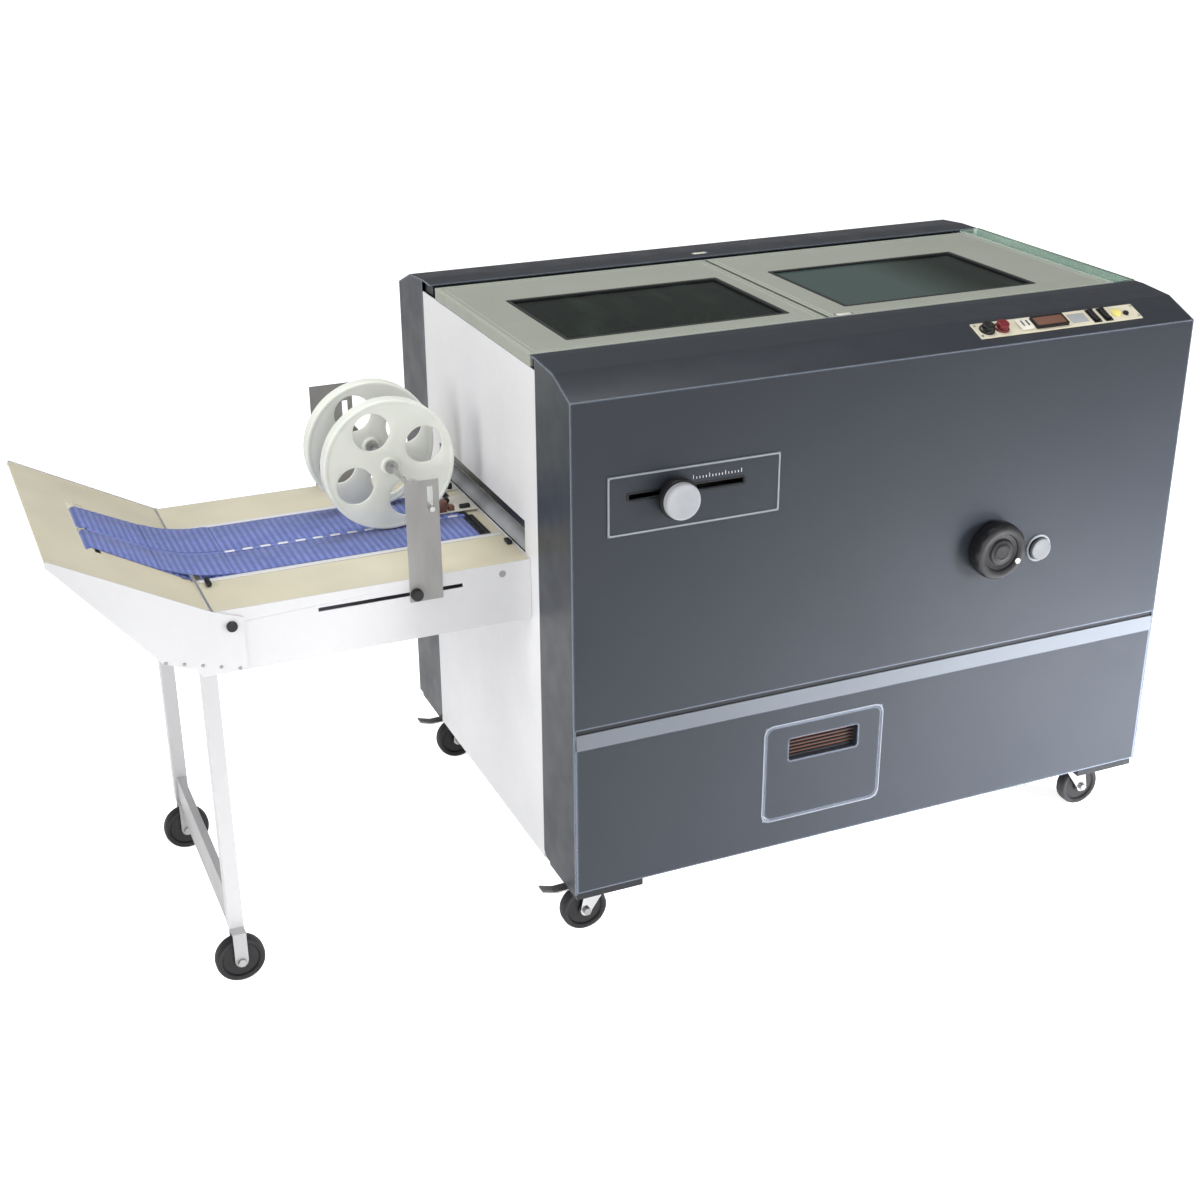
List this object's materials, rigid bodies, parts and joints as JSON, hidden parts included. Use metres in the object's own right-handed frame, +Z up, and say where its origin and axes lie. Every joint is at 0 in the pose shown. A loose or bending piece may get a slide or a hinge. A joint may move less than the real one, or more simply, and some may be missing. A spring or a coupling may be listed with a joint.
{
  "type": "booklet folding machine",
  "caption": "Booklet stitcher and folder in a slate cabinet on castors, with smoked lids and a blue belt delivery table with press discs and ramp",
  "frame": {"origin": "on the floor under the middle of the whole machine, delivery table included", "axes": "+X runs from the delivery ramp to the infeed end, +Y from the control side to the back, +Z up"},
  "size_m": [1.7356, 0.792, 0.9193],
  "materials": {
    "slate_paint": "fine texture, satin",
    "dark_paint": "satin",
    "pale_strip": "satin",
    "white_paint": "satin",
    "cream_paint": "satin",
    "lid_plastic": "fine texture, matt",
    "smoked_acrylic": "polished, dark green",
    "cream_label": "matt",
    "blue_belt": "ribbed, matt",
    "disc_plastic": "matt",
    "steel": "ground",
    "chrome_fork": "polished",
    "zinc_plate": "zinc plated, dull",
    "rubber": "matt",
    "black_plastic": "gloss",
    "red_plastic": "gloss",
    "grey_plastic": "satin",
    "green_paint": "satin"
  },
  "bodies": {
    "cabinet": {"machine_frame": "dark_paint", "front_cover": "slate_paint", "back_cover": "slate_paint", "lower_front_panel": "slate_paint", "ledge_strip": "pale_strip", "left_end_panel": "white_paint", "right_end_panel": "white_paint", "top_frame": "dark_paint", "infeed_guard": "smoked_acrylic", "control_plate": "cream_label", "display": "black_plastic", "slider_plate": "slate_paint", "paper_bed": "zinc_plate", "drive_belt": "rubber", "stitching_unit": "green_paint", "main_motor": "dark_paint", "power_inlet": "black_plastic", "table_tray": "white_paint", "table_top": "cream_paint", "delivery_belt_near": "blue_belt", "delivery_belt_far": "blue_belt", "leg_frame": "white_paint"},
    "left_lid": {"left_lid_frame": "lid_plastic", "left_lid_pane": "smoked_acrylic"},
    "right_lid": {"right_lid_frame": "lid_plastic", "right_lid_pane": "smoked_acrylic"},
    "ramp_unit": {"ramp": "cream_paint", "ramp_belt_near": "blue_belt", "ramp_belt_far": "blue_belt"},
    "disc_carriage": {"bracket_near": "zinc_plate", "bracket_far": "zinc_plate"},
    "lifting_axle": {"disc_axle": "steel"},
    "press_discs": {"press_disc_near": "disc_plastic", "press_disc_far": "disc_plastic"},
    "slider": {"slider_knob": "grey_plastic"},
    "wheel_and_shaft": {"hand_wheel": "black_plastic"},
    "left_roller": {"fold_roller_left": "zinc_plate"},
    "right_roller": {"fold_roller_right": "zinc_plate"},
    "outlet_roller": {"exit_roller": "steel"},
    "blade": {"fold_blade": "steel"},
    "stop_key": {"stop_button": "black_plastic"},
    "start_key": {"start_button": "red_plastic"},
    "release_key": {"release_button": "grey_plastic"},
    "rocker_key_1": {"rocker_1": "black_plastic"},
    "rocker_key_2": {"rocker_2": "black_plastic"},
    "hatch": {"hatch_door": "slate_paint"},
    "belt_drive": {"drive_roller": "zinc_plate"},
    "belt_tail": {"tail_roller": "zinc_plate"},
    "near_leg_wheel": {"leg_wheel_near": "rubber"},
    "far_leg_wheel": {"leg_wheel_far": "rubber"},
    "castor_front_left_turning": {"castor_front_left_fork": "chrome_fork"},
    "castor_front_left_rolling": {"castor_front_left_wheel": "rubber"},
    "castor_front_left_brake": {"castor_front_left_brake_lever": "zinc_plate"},
    "castor_front_right_turning": {"castor_front_right_fork": "chrome_fork"},
    "castor_front_right_rolling": {"castor_front_right_wheel": "rubber"},
    "castor_back_left_turning": {"castor_back_left_fork": "chrome_fork"},
    "castor_back_left_rolling": {"castor_back_left_wheel": "rubber"},
    "castor_back_left_brake": {"castor_back_left_brake_lever": "zinc_plate"},
    "castor_back_right_turning": {"castor_back_right_fork": "chrome_fork"},
    "castor_back_right_rolling": {"castor_back_right_wheel": "rubber"}
  },
  "joints": [
    {"name": "left_lid_hinge", "type": "hinge", "parent": "cabinet", "child": "left_lid", "pos_m": [0.05404, 0.217, 0.9083], "axis": [-1, 0, 0], "range_deg": [0, 80]},
    {"name": "right_lid_hinge", "type": "hinge", "parent": "cabinet", "child": "right_lid", "pos_m": [0.55804, 0.217, 0.9083], "axis": [-1, 0, 0], "range_deg": [0, 80]},
    {"name": "ramp_hinge", "type": "hinge", "parent": "cabinet", "child": "ramp_unit", "pos_m": [-0.63246, 0.018, 0.58], "axis": [0, 1, 0], "range_deg": [-28, 0]},
    {"name": "disc_carriage_slide", "type": "slide", "parent": "cabinet", "child": "disc_carriage", "axis": [1, 0, 0], "range_m": [-0.128, 0.045]},
    {"name": "disc_lift", "type": "slide", "parent": "disc_carriage", "child": "lifting_axle", "axis": [0, 0, 1], "range_m": [0, 0.028]},
    {"name": "press_disc_spin", "type": "hinge", "parent": "lifting_axle", "child": "press_discs", "pos_m": [-0.33646, -0.008, 0.7099], "axis": [0, 1, 0], "continuous": true},
    {"name": "slider_slide", "type": "slide", "parent": "cabinet", "child": "slider", "axis": [1, 0, 0], "range_m": [-0.0675, 0.1045]},
    {"name": "hand_wheel_turn", "type": "hinge", "parent": "cabinet", "child": "wheel_and_shaft", "pos_m": [0.52054, -0.36, 0.566], "axis": [0, 1, 0], "continuous": true},
    {"name": "left_roller_spin", "type": "hinge", "parent": "cabinet", "child": "left_roller", "pos_m": [0.07554, -0.23, 0.7], "axis": [0, 1, 0], "continuous": true},
    {"name": "right_roller_spin", "type": "hinge", "parent": "cabinet", "child": "right_roller", "pos_m": [0.11954, -0.23, 0.7], "axis": [0, 1, 0], "continuous": true},
    {"name": "outlet_roller_spin", "type": "hinge", "parent": "cabinet", "child": "outlet_roller", "pos_m": [-0.17246, -0.23, 0.64], "axis": [0, 1, 0], "continuous": true},
    {"name": "fold_blade_slide", "type": "slide", "parent": "cabinet", "child": "blade", "axis": [0, 0, -1], "range_m": [0, 0.045]},
    {"name": "stop_button_push", "type": "slide", "parent": "cabinet", "child": "stop_key", "axis": [0, 0.374, -0.9274], "range_m": [0, 0.003], "stiffness_N_per_m": 500},
    {"name": "start_button_push", "type": "slide", "parent": "cabinet", "child": "start_key", "axis": [0, 0.374, -0.9274], "range_m": [0, 0.003], "stiffness_N_per_m": 500},
    {"name": "release_button_push", "type": "slide", "parent": "cabinet", "child": "release_key", "axis": [0, 1, 0], "range_m": [0, 0.003], "stiffness_N_per_m": 500},
    {"name": "rocker_1_tilt", "type": "hinge", "parent": "cabinet", "child": "rocker_key_1", "pos_m": [0.69454, -0.32676, 0.90488], "axis": [1, 0, 0], "range_deg": [-8, 8]},
    {"name": "rocker_2_tilt", "type": "hinge", "parent": "cabinet", "child": "rocker_key_2", "pos_m": [0.71554, -0.32676, 0.90488], "axis": [1, 0, 0], "range_deg": [-8, 8]},
    {"name": "hatch_hinge", "type": "hinge", "parent": "cabinet", "child": "hatch", "pos_m": [0.23654, -0.36, 0.163], "axis": [1, 0, 0], "range_deg": [0, 75]},
    {"name": "belt_drive_spin", "type": "hinge", "parent": "cabinet", "child": "belt_drive", "pos_m": [-0.23046, -0.2, 0.588], "axis": [0, 1, 0], "continuous": true},
    {"name": "belt_tail_spin", "type": "hinge", "parent": "cabinet", "child": "belt_tail", "pos_m": [-0.62446, -0.2, 0.588], "axis": [0, 1, 0], "continuous": true},
    {"name": "castor_front_left_swivel", "type": "hinge", "parent": "cabinet", "child": "castor_front_left_turning", "pos_m": [-0.11146, -0.286, 0.1], "axis": [0, 0, 1], "continuous": true},
    {"name": "castor_front_left_roll", "type": "hinge", "parent": "castor_front_left_turning", "child": "castor_front_left_rolling", "pos_m": [-0.14346, -0.286, 0.0375], "axis": [0, 1, 0], "continuous": true},
    {"name": "castor_front_left_brake_tilt", "type": "hinge", "parent": "castor_front_left_turning", "child": "castor_front_left_brake", "pos_m": [-0.13946, -0.286, 0.0805], "axis": [0, -1, 0], "range_deg": [0, 12]},
    {"name": "castor_front_right_swivel", "type": "hinge", "parent": "cabinet", "child": "castor_front_right_turning", "pos_m": [0.77654, -0.286, 0.1], "axis": [0, 0, 1], "continuous": true},
    {"name": "castor_front_right_roll", "type": "hinge", "parent": "castor_front_right_turning", "child": "castor_front_right_rolling", "pos_m": [0.80854, -0.286, 0.0375], "axis": [0, 1, 0], "continuous": true},
    {"name": "castor_back_left_swivel", "type": "hinge", "parent": "cabinet", "child": "castor_back_left_turning", "pos_m": [-0.11146, 0.322, 0.1], "axis": [0, 0, 1], "continuous": true},
    {"name": "castor_back_left_roll", "type": "hinge", "parent": "castor_back_left_turning", "child": "castor_back_left_rolling", "pos_m": [-0.14346, 0.322, 0.0375], "axis": [0, 1, 0], "continuous": true},
    {"name": "castor_back_left_brake_tilt", "type": "hinge", "parent": "castor_back_left_turning", "child": "castor_back_left_brake", "pos_m": [-0.13946, 0.322, 0.0805], "axis": [0, -1, 0], "range_deg": [0, 12]},
    {"name": "castor_back_right_swivel", "type": "hinge", "parent": "cabinet", "child": "castor_back_right_turning", "pos_m": [0.77654, 0.322, 0.1], "axis": [0, 0, 1], "continuous": true},
    {"name": "castor_back_right_roll", "type": "hinge", "parent": "castor_back_right_turning", "child": "castor_back_right_rolling", "pos_m": [0.80854, 0.322, 0.0375], "axis": [0, 1, 0], "continuous": true},
    {"name": "leg_wheel_near_roll", "type": "hinge", "parent": "cabinet", "child": "near_leg_wheel", "pos_m": [-0.66946, -0.2017, 0.0375], "axis": [0, 1, 0], "continuous": true},
    {"name": "leg_wheel_far_roll", "type": "hinge", "parent": "cabinet", "child": "far_leg_wheel", "pos_m": [-0.66946, 0.2077, 0.0375], "axis": [0, 1, 0], "continuous": true}
  ],
  "couplings": [
    {"joint": "left_roller_spin", "follows": "hand_wheel_turn", "ratio": 1},
    {"joint": "right_roller_spin", "follows": "hand_wheel_turn", "ratio": -1},
    {"joint": "outlet_roller_spin", "follows": "hand_wheel_turn", "ratio": -2.6875},
    {"joint": "belt_tail_spin", "follows": "belt_drive_spin", "ratio": 1},
    {"joint": "press_disc_spin", "follows": "belt_drive_spin", "ratio": -0.1777}
  ]
}
